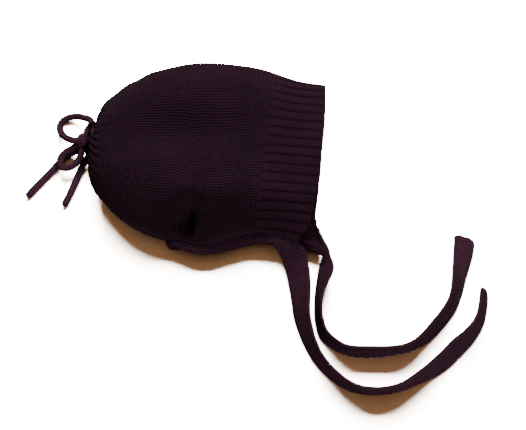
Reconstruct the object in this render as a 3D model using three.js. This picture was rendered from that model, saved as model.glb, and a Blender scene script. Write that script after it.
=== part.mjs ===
// Baby bonnet of knitted wool, lying on its side with its ties spread out in front of it.
// Millimetres, +Z up. +X is the face side and +Y the top of the head. The layer on top is the
// bonnet's right side and the layer beneath it its left side. The origin is on the flat patch
// on which the crown rests.

import * as THREE from "three";
import { mergeVertices } from "three/addons/utils/BufferGeometryUtils.js";

// Crown
const CROWN_LENGTH = 142;
const CROWN_HEIGHT = 144;
const CROWN_BULGE = 50;
const KNIT_WALL = 2.4;
const DRAW_CORD_X = -82.5;
const CROWN_COLUMNS = 72;
const UPPER_CUT = 1 / CROWN_COLUMNS;
const LOWER_CUT = 3 / CROWN_COLUMNS;
const NAPE_AT = 0.537;

// Gathered back and the cord that draws it together
const RUFFLE_RADIUS = 9.4;
const RUFFLE_DEPTH = 3.2;
const GATHER_Y = 11.5;
const GATHER_Z = 14.5;
const DRAW_CORD_RADIUS = 10;
const DRAW_CORD_DIAMETER = 3.6;
const PLEAT_COUNT = 18;
const PLEAT_RELIEF = 1.4;
const PLEAT_REACH = 26;
const BUNCH = 1.6;

// Ribbed band round the face
const BAND_DEPTH = 38.5;
const RIB_COUNT = 38;
const RIB_RELIEF = 0.9;
const GROOVE_SHARE = 0.18;

// Neck band and ties
const RIGHT_TIE_AT = 1.22;
const NECK_LIP = 8;
const NAPE_TURN_RADIUS = 7.5;
const TIE_WIDTH = 20;
const TIE_WALL = 2.4;
const TIE_TIP = 9;
const RIGHT_TIE_LENGTH = 282;
const LEFT_TIE_LENGTH = 250;

// Bow
const CORD_DIAMETER = 4.6;
const KNOT_RADIUS = 5.6;
const KNOT_OUT = 8.6;
const KNOT_NECK = 6.1;
const KNOT_FLATTEN = { y: 1.12, z: 0.92 };

const PIECE_GAP = 0.3;

// Sections of the pouch across its length. "at" runs from -1 at the ruffle's edge over 0 at
// the draw cord and 1 at the rib band to 2 at the front edge. top and neck are the folds on
// top of the head and at the neck, as shares of CROWN_HEIGHT from the origin. crest and hem
// are the heights of those folds, over and under the reach of the upper and lower layer from
// them, as shares of CROWN_BULGE. near and far say how far the neck side stands behind the
// top on the upper and on the lower layer, as shares of CROWN_LENGTH. square runs from 0, a
// round section, to 1, a flattened one, and sweep is 1 where a course runs straight down and
// more where it bends back only near the neck. flare is how far the lower layer's corner at the
// neck stands forward again, as a share of CROWN_LENGTH.
const SECTION_COLUMNS = [
  "at", "top", "neck", "crest", "hem", "over", "under", "near", "far", "square", "sweep", "flare",
];
const SECTIONS = [
  ringSection(-1, RUFFLE_RADIUS),
  ringSection(-0.72, DRAW_CORD_RADIUS - 0.4 * DRAW_CORD_DIAMETER),
  ringSection(0, DRAW_CORD_RADIUS - 1.15 * DRAW_CORD_DIAMETER),
  ringSection(0.018, DRAW_CORD_RADIUS - 0.4 * DRAW_CORD_DIAMETER),
  ringSection(0.025, DRAW_CORD_RADIUS + 0.8 * DRAW_CORD_DIAMETER),
  [0.034, 0.205, -0.1, 0.31, 0.3, 0.37, 0.29, -0.046, -0.008, 0.3, 1, 0],
  [0.05, 0.263, -0.189, 0.34, 0.31, 0.42, 0.35, -0.056, -0.03, 0.6, 1, 0],
  [0.075, 0.297, -0.238, 0.36, 0.31, 0.46, 0.41, -0.058, -0.044, 0.8, 1, 0],
  [0.115, 0.333, -0.283, 0.37, 0.3, 0.5, 0.46, -0.061, -0.054, 1, 1, 0],
  [0.17, 0.38, -0.333, 0.38, 0.29, 0.54, 0.48, -0.06, -0.06, 1, 1, 0],
  [0.237, 0.414, -0.378, 0.39, 0.28, 0.57, 0.5, -0.055, -0.055, 1, 1, 0],
  [0.308, 0.442, -0.414, 0.4, 0.26, 0.59, 0.5, -0.055, -0.055, 1, 1, 0],
  [0.39, 0.467, -0.442, 0.4, 0.24, 0.61, 0.5, -0.066, -0.066, 1, 1, 0],
  [0.478, 0.488, -0.463, 0.4, 0.23, 0.63, 0.5, -0.082, -0.08, 1, 1, 0],
  [0.566, 0.5, -0.487, 0.4, 0.23, 0.65, 0.5, -0.082, -0.075, 1, 1, 0],
  [0.653, 0.5, -0.497, 0.4, 0.23, 0.66, 0.5, -0.084, -0.075, 1, 1, 0],
  [0.742, 0.493, -0.495, 0.4, 0.23, 0.66, 0.5, -0.088, -0.075, 1, 1, 0],
  [0.83, 0.482, -0.474, 0.4, 0.23, 0.64, 0.5, -0.094, -0.082, 1, 1, 0],
  [0.912, 0.468, -0.452, 0.4, 0.24, 0.6, 0.5, -0.104, -0.09, 1, 1, 0],
  [1, 0.443, -0.437, 0.38, 0.25, 0.54, 0.5, -0.115, -0.1, 1, 1, 0],
  [1.45, 0.412, -0.446, 0.37, 0.27, 0.48, 0.5, -0.12, -0.085, 1, 1.5, 0.025],
  [2, 0.39, -0.48, 0.36, 0.29, 0.42, 0.5, -0.118, -0.085, 1, 1.8, 0.06],
];

// Folds and dents of the upper layer: where each lies, as shares of CROWN_LENGTH and
// CROWN_HEIGHT from the origin, how far it spreads, and its lift as a share of CROWN_BULGE.
const FOLDS = [
  { name: "hollow under the crest", x: -0.08, y: 0.12, long: 0.4, wide: 0.13, lift: -0.14 },
  { name: "ridge over the cheek", x: 0.16, y: -0.2, long: 0.32, wide: 0.1, lift: 0.1 },
  { name: "hump over the tuck", x: -0.05, y: -0.29, long: 0.1, wide: 0.055, lift: 0.08 },
  { name: "tuck above the neck", x: -0.06, y: -0.4, long: 0.062, wide: 0.07, lift: -0.3 },
];

// Where the neck lip points: beneath the upper layer, round the nape, along the lower layer
const UPPER_LIP = new THREE.Vector3(0.1, -0.93, -0.35).normalize();
const NAPE_LIP = new THREE.Vector3(0.5, -0.86, -0.05).normalize();
const LOWER_LIP = new THREE.Vector3(0, -1, 0);

// The ties' lower edges as they lie: x and y from the root as shares of the tie's length, lift
// of that edge as a share of TIE_WIDTH, width as a share of TIE_WIDTH, the way in degrees in
// which the other edge lies, and how many degrees the tie leans up from the surface.
const RIGHT_TIE = [
  { x: 0, y: 0, lift: 0.47, width: 0.4, face: 80, lean: 24 },
  { x: 0.015, y: 0.004, lift: 0.42, width: 0.6, face: 30, lean: 24 },
  { x: 0.032, y: -0.023, lift: 0.3, width: 0.92, face: 12, lean: 22 },
  { x: 0.043, y: -0.046, lift: 0.16, width: 1, face: 4, lean: 23 },
  { x: 0.056, y: -0.096, lift: 0.03, width: 1, face: 4, lean: 33 },
  { x: 0.066, y: -0.151, lift: 0, width: 1, face: 6, lean: 48 },
  { x: 0.074, y: -0.2, lift: 0, width: 1, face: 11, lean: 57 },
  { x: 0.098, y: -0.264, lift: 0, width: 1, face: 24, lean: 67 },
  { x: 0.134, y: -0.321, lift: 0, width: 1, face: 41, lean: 74 },
  { x: 0.196, y: -0.374, lift: 0, width: 1, face: 66, lean: 78 },
  { x: 0.259, y: -0.392, lift: 0, width: 1, face: 86, lean: 82 },
  { x: 0.335, y: -0.387, lift: 0, width: 1, face: 101, lean: 80 },
  { x: 0.407, y: -0.363, lift: 0, width: 1, face: 113, lean: 72 },
  { x: 0.469, y: -0.332, lift: 0, width: 1, face: 125, lean: 62 },
  { x: 0.517, y: -0.289, lift: 0, width: 1, face: 136, lean: 62 },
  { x: 0.553, y: -0.25, lift: 0, width: 1, face: 150, lean: 63 },
  { x: 0.581, y: -0.2, lift: 0, width: 1, face: 162, lean: 62 },
  { x: 0.597, y: -0.121, lift: 0, width: 1, face: 170, lean: 63 },
];
const LEFT_TIE = [
  { x: 0, y: 0, lift: 0.24, width: 0.4, face: 77, lean: 10 },
  { x: 0.016, y: -0.011, lift: 0.14, width: 0.55, face: 30, lean: 28 },
  { x: 0.011, y: -0.036, lift: 0.05, width: 0.75, face: 5, lean: 44 },
  { x: 0.006, y: -0.064, lift: 0, width: 0.95, face: -6, lean: 58 },
  { x: -0.001, y: -0.119, lift: 0, width: 1, face: -6, lean: 75 },
  { x: -0.003, y: -0.165, lift: 0, width: 1, face: -2, lean: 81 },
  { x: -0.001, y: -0.208, lift: 0, width: 1, face: 10, lean: 80 },
  { x: 0.014, y: -0.259, lift: 0, width: 1, face: 36, lean: 77 },
  { x: 0.074, y: -0.301, lift: 0, width: 1, face: 70, lean: 78 },
  { x: 0.152, y: -0.313, lift: 0, width: 1, face: 88, lean: 74 },
  { x: 0.233, y: -0.304, lift: 0, width: 1, face: 98, lean: 79 },
  { x: 0.287, y: -0.291, lift: 0, width: 1, face: 108, lean: 75 },
  { x: 0.344, y: -0.259, lift: 0, width: 1, face: 122, lean: 64 },
  { x: 0.403, y: -0.197, lift: 0, width: 1, face: 138, lean: 61 },
  { x: 0.433, y: -0.147, lift: 0, width: 1, face: 148, lean: 58 },
  { x: 0.462, y: -0.064, lift: 0, width: 1, face: 162, lean: 46 },
  { x: 0.485, y: 0.005, lift: 0, width: 1, face: 168, lean: 31 },
  { x: 0.492, y: 0.049, lift: 0, width: 1, face: 172, lean: 28 },
];

// Routes of the bow's strands from the knot, in millimetres from the knot's centre
const BOW_LOOP_UPPER = [
  [-0.3, 8.4, -0.3], [1.2, 13.8, -2.5], [-0.5, 19.4, -5.1], [-5.1, 23.1, -7.7],
  [-10.4, 24.3, -10.1], [-15.8, 23.6, -11.5], [-20.1, 20.9, -12.1], [-22.1, 16.4, -11.5],
  [-20.5, 11.1, -9.9], [-16.2, 5.7, -6.5], [-10.9, 1.9, -2.1], [-7.5, -0.1, 1.7],
];
const BOW_LOOP_LOWER = [
  [-6.3, -3.2, -2.5], [-10.3, -5.2, -4], [-14.7, -7.6, -5.3], [-18.2, -11.6, -5.9],
  [-18.8, -16.1, -5.9], [-16.6, -19.6, -6.1], [-12.3, -20, -6.1], [-7.5, -17.9, -5.3],
  [-4, -14.7, -3.9], [-2.2, -11.2, -2.7], [-1.4, -8.1, -1.9],
];
const CORD_END_LONG = [
  [-4.5, -4.6, -7.5], [-8, -5.4, -9.5], [-12.1, -6.9, -11.1], [-17.2, -10.4, -12.1],
  [-22.4, -15.8, -12.2], [-27.5, -22, -12.2], [-32.7, -28, -12.2], [-38.1, -34.1, -12.2],
  [-43, -39.9, -12.2],
];
const CORD_END_SHORT = [
  [0.8, -7.8, -6.5], [0.4, -9.8, -8.5], [-0.6, -12.6, -10.1], [-2.8, -18.3, -11.7],
  [-5.1, -24, -12.2], [-7.4, -30.3, -12.2], [-9.7, -36.3, -12.2], [-12, -42, -12.2],
  [-14.4, -47.2, -12.2],
];

function ringSection(at, radius) {
  const across = radius / CROWN_HEIGHT;
  const up = radius / CROWN_BULGE;
  const level = GATHER_Y / CROWN_HEIGHT;
  const height = GATHER_Z / CROWN_BULGE;
  return [at, level + across, level - across, height, height, up, up, 0, 0, 0, 1, 0];
}

const mix = (a, b, share) => a + (b - a) * share;

function smooth(low, high, value) {
  const share = Math.min(1, Math.max(0, (value - low) / (high - low)));
  return share * share * (3 - 2 * share);
}

// Distance from the draw cord towards the face at a place of the sections' table
function along(at) {
  if (at < 0) return at * RUFFLE_DEPTH;
  return Math.min(at, 1) * CROWN_LENGTH + Math.max(at - 1, 0) * BAND_DEPTH;
}

// A smooth curve through the rows of a table, read at one place of its first column
function through(places, values, place) {
  const last = places.length - 1;
  let i = 0;
  while (i < last - 1 && place > places[i + 1]) i++;
  const slope = (k) => {
    const before = Math.max(k - 1, 0);
    const after = Math.min(k + 1, last);
    return (values[after] - values[before]) / (places[after] - places[before]);
  };
  const span = places[i + 1] - places[i];
  const t = Math.min(1, Math.max(0, (place - places[i]) / span));
  const a = 2 * t ** 3 - 3 * t ** 2 + 1;
  const b = t ** 3 - 2 * t ** 2 + t;
  const c = 3 * t ** 2 - 2 * t ** 3;
  const d = t ** 3 - t ** 2;
  return a * values[i] + b * span * slope(i) + c * values[i + 1] + d * span * slope(i + 1);
}

const sectionColumn = (name) => SECTIONS.map((row) => row[SECTION_COLUMNS.indexOf(name)]);
const SECTION_PLACES = sectionColumn("at").map(along);
const SECTION_VALUES = new Map(SECTION_COLUMNS.map((name) => [name, sectionColumn(name)]));

// Shape of a section: how blunt its layers are, and how far the swell leans to the neck side
const UPPER_BLUNT = 0.2;
const LOWER_BLUNT = 0.4;
const NECK_SWELL = 0.22;
const FLARE_FROM = 0.8;
const LOOP_STEPS = 216;
const loops = new Map();

// One whole section as closely spaced points with the arc length up to each: from the fold
// at the neck over the upper layer to the crest and back beneath.
function loopAt(place) {
  const key = place.toFixed(4);
  if (loops.has(key)) return loops.get(key);
  const row = {};
  for (const [name, values] of SECTION_VALUES) row[name] = through(SECTION_PLACES, values, place);
  const points = [];
  const arcs = [0];
  for (let k = 0; k <= LOOP_STEPS; k++) {
    const angle = (2 * Math.PI * k) / LOOP_STEPS;
    points.push(loopPoint(row, place, Math.cos(angle), Math.sin(angle)));
    if (k > 0) arcs.push(arcs[k - 1] + points[k].distanceTo(points[k - 1]));
  }
  const loop = { points, arcs };
  loops.set(key, loop);
  return loop;
}

function loopPoint(row, place, neckward, upward) {
  const half = (row.top - row.neck) / 2;
  const share = (1 + neckward) / 2;
  const y = CROWN_HEIGHT * ((row.top + row.neck) / 2 - half * neckward);
  const upper = smooth(-0.35, 0.05, upward);
  const forward = row.flare * smooth(FLARE_FROM, 1, share);
  const behind = mix(row.far * share ** row.sweep + forward, row.near * share ** row.sweep, upper);
  const x = DRAW_CORD_X + place + CROWN_LENGTH * behind;
  const fold = mix(row.crest, row.hem, share);
  let height;
  if (upward >= 0) {
    const swell = 1 + NECK_SWELL * row.square * neckward;
    height = fold + row.over * swell * upward ** (1 - UPPER_BLUNT * row.square);
    height += foldLift(x, y) * smooth(0, 0.35, upward);
  } else {
    height = fold - row.under * (-upward) ** (1 - LOWER_BLUNT * row.square);
  }
  return new THREE.Vector3(x, y, Math.max(0, CROWN_BULGE * height));
}

function foldLift(x, y) {
  let lift = 0;
  for (const fold of FOLDS) {
    const dx = (x / CROWN_LENGTH - fold.x) / fold.long;
    const dy = (y / CROWN_HEIGHT - fold.y) / fold.wide;
    lift += fold.lift * Math.exp(-dx * dx - dy * dy);
  }
  return lift;
}

// A point of the pouch's smooth outside: place along it, share of the way round it
function pouch(place, round) {
  const { points, arcs } = loopAt(place);
  const turns = round - Math.floor(round);
  const wanted = turns * arcs[LOOP_STEPS];
  let low = 0;
  let high = LOOP_STEPS;
  while (high - low > 1) {
    const middle = (low + high) >> 1;
    if (arcs[middle] <= wanted) low = middle;
    else high = middle;
  }
  const share = (wanted - arcs[low]) / (arcs[high] - arcs[low]);
  return points[low].clone().lerp(points[high], share);
}

const NORMAL_STEP = 0.6;
const NORMAL_TURN = 0.004;

function pouchNormal(place, round) {
  const ahead = pouch(place + NORMAL_STEP, round).sub(pouch(place - NORMAL_STEP, round));
  const onward = pouch(place, round + NORMAL_TURN).sub(pouch(place, round - NORMAL_TURN));
  return ahead.cross(onward).normalize();
}

// Pleats run out from the draw cord and fade into the crown
function pleat(place, round) {
  const fade = Math.max(0, 1 - Math.abs(place) / PLEAT_REACH) ** 2;
  const groove = 1 - 0.8 * Math.exp(-((place / DRAW_CORD_DIAMETER) ** 2) * 2);
  return PLEAT_RELIEF * fade * groove * Math.cos(2 * Math.PI * PLEAT_COUNT * round);
}

function crownOutside(place, round) {
  const normal = pouchNormal(place, round);
  const point = pouch(place, round).addScaledVector(normal, pleat(place, round));
  point.z = Math.max(0, point.z);
  return point;
}

function crownInside(place, round) {
  const normal = pouchNormal(place, round);
  const bunch = BUNCH * Math.exp(-((place / DRAW_CORD_DIAMETER) ** 2) * 2);
  const follow = place < 0 ? pleat(place, round) : 0;
  return pouch(place, round).addScaledVector(normal, follow - KNIT_WALL - bunch);
}

// Rib band: flat ribs with narrow grooves between them, which run from back to front
function bandOutside(place, round, groove) {
  const sink = groove ? RIB_RELIEF : 0;
  const point = pouch(place, round).addScaledVector(pouchNormal(place, round), -sink);
  point.z = Math.max(0, point.z);
  return point;
}

const bandInside = (place, round) =>
  pouch(place, round).addScaledVector(pouchNormal(place, round), -KNIT_WALL);

// Makes one closed geometry of a list of triangles, each three points
function geometryOf(triangles) {
  const positions = triangles.flatMap((triangle) => triangle.flatMap((p) => [p.x, p.y, p.z]));
  const geometry = new THREE.BufferGeometry();
  geometry.setAttribute("position", new THREE.Float32BufferAttribute(positions, 3));
  return mergeVertices(geometry, 1e-4);
}

// A wall between an outer and an inner grid of points, with rims where the grid ends
function shell(outer, inner, wraps, isOpen) {
  const rows = outer.length;
  const columns = outer[0].length;
  const triangles = [];
  const edges = new Map();
  const addEdge = (a, b) => {
    const back = `${b}_${a}`;
    if (edges.has(back)) edges.delete(back);
    else edges.set(`${a}_${b}`, [a, b]);
  };
  const outerPoint = (id) => outer[Math.floor(id / columns)][id % columns];
  const innerPoint = (id) => inner[Math.floor(id / columns)][id % columns];
  for (let i = 0; i < rows - 1; i++) {
    for (let j = 0; j < (wraps ? columns : columns - 1); j++) {
      if (isOpen(i, j)) continue;
      const next = (j + 1) % columns;
      const [a, b] = [i * columns + j, (i + 1) * columns + j];
      const [c, d] = [(i + 1) * columns + next, i * columns + next];
      triangles.push([a, b, c].map(outerPoint), [a, c, d].map(outerPoint));
      triangles.push([c, b, a].map(innerPoint), [d, c, a].map(innerPoint));
      addEdge(a, b);
      addEdge(b, c);
      addEdge(c, d);
      addEdge(d, a);
    }
  }
  for (const [a, b] of edges.values()) {
    triangles.push([outerPoint(b), outerPoint(a), innerPoint(a)]);
    triangles.push([outerPoint(b), innerPoint(a), innerPoint(b)]);
  }
  return geometryOf(triangles);
}

// A solid through a row of sections with like numbers of points, capped at both ends
function loft(sections) {
  const triangles = [];
  const count = sections[0].length;
  for (let i = 0; i < sections.length - 1; i++) {
    for (let k = 0; k < count; k++) {
      const next = (k + 1) % count;
      const [a, b] = [sections[i][k], sections[i][next]];
      const [c, d] = [sections[i + 1][next], sections[i + 1][k]];
      triangles.push([a, b, c], [a, c, d]);
    }
  }
  const first = sections[0];
  const last = sections[sections.length - 1];
  for (let k = 1; k < count - 1; k++) {
    triangles.push([first[0], first[k + 1], first[k]]);
    triangles.push([last[0], last[k], last[k + 1]]);
  }
  const volume = triangles.reduce((sum, [a, b, c]) => sum + a.dot(b.clone().cross(c)), 0);
  return geometryOf(volume < 0 ? triangles.map(([a, b, c]) => [a, c, b]) : triangles);
}

const even = (from, to, count) =>
  Array.from({ length: count }, (_, k) => mix(from, to, k / (count - 1)));

// Crown: a knitted tube drawn together at the back and open along the neck
const CROWN_STATIONS = [
  ...[-1, -0.72, 0, 0.018, 0.025, 0.034, 0.05, 0.075, 0.115, 0.17, 0.237, 0.308, 0.385, 0.46],
  ...even(NAPE_AT, 1, 9),
];

const BAND_STATIONS = [RIGHT_TIE_AT, 1.6, 2];

function crown() {
  const nape = CROWN_STATIONS.indexOf(NAPE_AT);
  const rounds = even(0, 1, CROWN_COLUMNS + 1).slice(0, -1);
  const upperCut = Math.round(UPPER_CUT * CROWN_COLUMNS);
  const lowerCut = Math.round(LOWER_CUT * CROWN_COLUMNS);
  const places = CROWN_STATIONS.map(along);
  const outer = places.map((place) => rounds.map((round) => crownOutside(place, round)));
  const inner = places.map((place) => rounds.map((round) => crownInside(place, round)));
  const isOpen = (i, j) => i >= nape && (j < upperCut || j >= CROWN_COLUMNS - lowerCut);
  return shell(outer, inner, true, isOpen);
}

function faceBand() {
  const rounds = [];
  const grooves = [];
  const step = (1 - UPPER_CUT - LOWER_CUT) / RIB_COUNT;
  for (let rib = 0; rib < RIB_COUNT; rib++) {
    for (const share of [0, GROOVE_SHARE, 1 - GROOVE_SHARE]) {
      rounds.push(UPPER_CUT + (rib + share) * step);
      grooves.push(share === 0);
    }
  }
  rounds.push(1 - LOWER_CUT);
  grooves.push(true);
  const places = [along(1) + 2 * PIECE_GAP, ...BAND_STATIONS.map(along)];
  const outer = places.map((place) => rounds.map((round, j) => bandOutside(place, round, grooves[j])));
  const inner = places.map((place) => rounds.map((round) => bandInside(place, round)));
  return shell(outer, inner, false, () => false);
}

// The neck edge at one place: a point of its outer and inner rim and the way off the edge
function rim(place, isUpper) {
  const round = isUpper ? UPPER_CUT : 1 - LOWER_CUT;
  const step = isUpper ? NORMAL_TURN : -NORMAL_TURN;
  const off = pouch(place, round).sub(pouch(place, round + step)).normalize();
  return {
    outer: pouch(place, round).addScaledVector(off, PIECE_GAP),
    inner: bandInside(place, round).addScaledVector(off, PIECE_GAP),
    normal: pouchNormal(place, round),
  };
}

// Section of the neck band: the width of the wall where it meets the rim, twice that outside
function lipSection(outer, inner, normal, lip) {
  const far = outer.clone().addScaledVector(lip, NECK_LIP);
  const under = inner.clone().addScaledVector(lip, NECK_LIP).addScaledVector(normal, -KNIT_WALL / 2);
  const nose = far.clone().add(under).multiplyScalar(0.5).addScaledVector(lip, KNIT_WALL / 2);
  const section = [outer, far, nose, under, inner];
  section.forEach((point) => (point.z = Math.max(0, point.z)));
  return section;
}

function neckBand() {
  const sections = [];
  const seam = [NAPE_AT + 0.03, ...CROWN_STATIONS.filter((at) => at > NAPE_AT)];
  for (const at of [...seam, RIGHT_TIE_AT].reverse()) {
    const { outer, inner, normal } = rim(along(at), true);
    sections.push(lipSection(outer, inner, normal, UPPER_LIP));
  }
  const centre = pouch(along(NAPE_AT), 0);
  const levels = [pouch(along(NAPE_AT), UPPER_CUT).z, 0];
  const height = (levels[0] + levels[1]) / 2;
  for (const degrees of even(70, -90, 6)) {
    const angle = THREE.MathUtils.degToRad(degrees);
    const normal = new THREE.Vector3(-Math.cos(angle), 0, Math.sin(angle));
    const outer = new THREE.Vector3(
      centre.x - NAPE_TURN_RADIUS * Math.cos(angle),
      centre.y - PIECE_GAP * 3,
      height + ((levels[0] - levels[1]) / 2) * Math.sin(angle),
    );
    const inner = outer.clone().addScaledVector(normal, -KNIT_WALL);
    sections.push(lipSection(outer, inner, normal, NAPE_LIP));
  }
  for (const at of [...seam, ...BAND_STATIONS]) {
    const { outer, inner, normal } = rim(along(at), false);
    sections.push(lipSection(outer, inner, normal, LOWER_LIP));
  }
  return loft(sections);
}

// A tie as a strip that turns between lying flat and standing on its edge
function tie(rows, root, length, steps) {
  const places = rows.map((_, k) => k);
  const read = (name, t) => through(places, rows.map((row) => row[name]), t);
  const half = TIE_WALL / 2;
  const sections = even(0, rows.length - 1, steps).map((t, k) => {
    const face = THREE.MathUtils.degToRad(read("face", t));
    const lean = THREE.MathUtils.degToRad(read("lean", t));
    const fromEnd = (steps - 1 - k) / (steps - 1) * length;
    const taper = Math.sqrt(Math.min(1, 0.12 + fromEnd / TIE_TIP));
    const width = TIE_WIDTH * read("width", t);
    const across = new THREE.Vector3(
      Math.cos(face) * Math.cos(lean), Math.sin(face) * Math.cos(lean), Math.sin(lean),
    );
    const thick = new THREE.Vector3(
      -Math.cos(face) * Math.sin(lean), -Math.sin(face) * Math.sin(lean), Math.cos(lean),
    );
    const inset = (width * (1 - taper)) / 2;
    const corner = (inset + half) * Math.sin(lean) - half * Math.cos(lean);
    const lowest = Math.min(inset * Math.sin(lean), corner);
    const edge = new THREE.Vector3(
      root.x + length * read("x", t),
      root.y + length * read("y", t),
      TIE_WIDTH * Math.max(0, read("lift", t)) - lowest,
    );
    const point = (w, h) => edge.clone().addScaledVector(across, w).addScaledVector(thick, h);
    return [
      point(inset, 0), point(inset + half, half), point(width - inset - half, half),
      point(width - inset, 0), point(width - inset - half, -half), point(inset + half, -half),
    ];
  });
  sections.flat().forEach((point) => (point.z = Math.max(0, point.z)));
  return loft(sections);
}

// A round cord along a route
function cord(route, centre, steps) {
  const points = route.map(([x, y, z]) => new THREE.Vector3(centre.x + x, centre.y + y, centre.z + z));
  const curve = new THREE.CatmullRomCurve3(points);
  const outline = new THREE.Shape(
    even(0, 2 * Math.PI, 9).slice(0, -1).map((angle) =>
      new THREE.Vector2(Math.cos(angle), Math.sin(angle)).multiplyScalar(CORD_DIAMETER / 2)),
  );
  const geometry = new THREE.ExtrudeGeometry(outline, { steps, extrudePath: curve, bevelEnabled: false });
  geometry.deleteAttribute("normal");
  geometry.deleteAttribute("uv");
  return mergeVertices(geometry, 1e-4);
}

function drawCord() {
  const ring = new THREE.TorusGeometry(DRAW_CORD_RADIUS, DRAW_CORD_DIAMETER / 2, 8, 20);
  ring.rotateY(Math.PI / 2);
  ring.translate(DRAW_CORD_X, GATHER_Y, GATHER_Z);
  return closed(ring);
}

function bowKnot(centre) {
  const neck = CORD_DIAMETER * 0.4;
  const profile = [new THREE.Vector2(0, -KNOT_NECK), new THREE.Vector2(neck, -KNOT_NECK)];
  for (const degrees of even(-62, 90, 7)) {
    const angle = THREE.MathUtils.degToRad(degrees);
    profile.push(new THREE.Vector2(KNOT_RADIUS * Math.cos(angle), KNOT_RADIUS * Math.sin(angle)));
  }
  profile[profile.length - 1].x = 0;
  const ball = new THREE.LatheGeometry(profile, 12);
  ball.rotateZ(Math.PI / 2);
  ball.scale(1, KNOT_FLATTEN.y, KNOT_FLATTEN.z);
  ball.translate(centre.x, centre.y, centre.z);
  return closed(ball);
}

function closed(geometry) {
  geometry.deleteAttribute("normal");
  geometry.deleteAttribute("uv");
  return mergeVertices(geometry, 1e-4);
}

const bonnet = new THREE.Group();

function add(name, geometry, colour, roughness) {
  const material = new THREE.MeshStandardMaterial({ color: colour, roughness, metalness: 0 });
  const mesh = new THREE.Mesh(geometry, material);
  mesh.name = name;
  bonnet.add(mesh);
}

const knot = new THREE.Vector3(DRAW_CORD_X - KNOT_OUT, GATHER_Y, GATHER_Z);
const rightRoot = lipRoot(RIGHT_TIE_AT, true, UPPER_LIP);
const leftRoot = lipRoot(2, false, LOWER_LIP);

// Where a tie's lower edge starts: at the outer edge of the neck band's end
function lipRoot(at, isUpper, lip) {
  const { outer } = rim(along(at), isUpper);
  return outer.addScaledVector(lip, NECK_LIP).add(new THREE.Vector3(PIECE_GAP, 0, 0));
}

add("crown", crown(), "#2a1720", 0.95);
add("face_band", faceBand(), "#27141f", 0.95);
add("neck_band", neckBand(), "#301824", 0.95);
add("right_tie", tie(RIGHT_TIE, rightRoot, RIGHT_TIE_LENGTH, 46), "#301824", 0.95);
add("left_tie", tie(LEFT_TIE, leftRoot, LEFT_TIE_LENGTH, 42), "#301824", 0.95);
add("draw_cord", drawCord(), "#2b1925", 0.95);
add("bow_knot", bowKnot(knot), "#35202e", 0.95);
add("bow_loop_upper", cord(BOW_LOOP_UPPER, knot, 22), "#35202e", 0.95);
add("bow_loop_lower", cord(BOW_LOOP_LOWER, knot, 18), "#35202e", 0.95);
add("cord_end_long", cord(CORD_END_LONG, knot, 16), "#35202e", 0.95);
add("cord_end_short", cord(CORD_END_SHORT, knot, 14), "#35202e", 0.95);

export default bonnet;
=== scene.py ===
"""Knitted baby bonnet lying on its side: knit, ribs, folded band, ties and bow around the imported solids."""
import math

import bpy
import numpy as np
from bpy.props import FloatProperty, FloatVectorProperty, IntProperty, PointerProperty
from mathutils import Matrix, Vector


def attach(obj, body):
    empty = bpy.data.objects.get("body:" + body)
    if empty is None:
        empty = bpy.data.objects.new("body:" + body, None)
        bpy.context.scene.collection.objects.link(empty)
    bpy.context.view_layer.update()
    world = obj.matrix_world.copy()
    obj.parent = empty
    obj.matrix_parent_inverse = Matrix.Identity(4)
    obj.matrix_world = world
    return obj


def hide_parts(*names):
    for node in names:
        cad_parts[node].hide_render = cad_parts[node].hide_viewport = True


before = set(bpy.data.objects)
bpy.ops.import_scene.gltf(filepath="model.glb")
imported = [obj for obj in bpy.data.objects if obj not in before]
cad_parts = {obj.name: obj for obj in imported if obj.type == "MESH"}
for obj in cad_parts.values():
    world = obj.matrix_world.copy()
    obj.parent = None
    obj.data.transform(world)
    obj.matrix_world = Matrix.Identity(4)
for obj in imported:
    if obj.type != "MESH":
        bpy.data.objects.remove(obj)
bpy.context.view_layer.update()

bl_info = {
    "name": "Knitted Baby Bonnet",
    "version": (1, 0, 0),
    "blender": (4, 5, 0),
    "location": "View3D > Sidebar > Bonnet",
    "description": "Builds a knitted baby bonnet with ribbed edge, folded neck band, ties and bowed draw cord",
    "category": "Add Mesh",
}

MM = 0.001

# Lengths in the tables and constants below are in millimetres, unless a comment says otherwise.

# The pouch that the crown and the face band follow: the solids' sections, fitted a little closer to the photo.
# Both cuts are shares of the way round, counted from the neck, and the rim's step and turn are how far to either
# side its direction is taken. The sag is at a share of the height from the neck.
CROWN_LENGTH = 142.0
CROWN_HEIGHT = 144.0
CROWN_BULGE = 50.0
BAND_DEPTH = 38.5
DRAW_CORD_X = -82.5
GATHER_Y = 11.5
GATHER_Z = 14.5
RUFFLE_DEPTH = 3.2
NAPE_AT = 0.537
UPPER_CUT = 1 / 72
LOWER_CUT = 3 / 72
RIM_STEP = 0.6
RIM_TURN = 0.004
LOOP_STEPS = 720
UPPER_BLUNT = 0.2
LOWER_BLUNT = 0.4
NECK_SWELL = 0.22
FLARE_FROM = 0.8
NECK_SAG = 0.03
SAG_AT = 0.07
SAG_WIDTH = 0.11


def ring_section(at, radius):
    """A round section of the gathered back."""
    level = GATHER_Y / CROWN_HEIGHT
    across = radius / CROWN_HEIGHT
    height = GATHER_Z / CROWN_BULGE
    up = radius / CROWN_BULGE
    return (at, level + across, level - across, height, height, up, up, 0, 0, 0, 1, 0)


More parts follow.
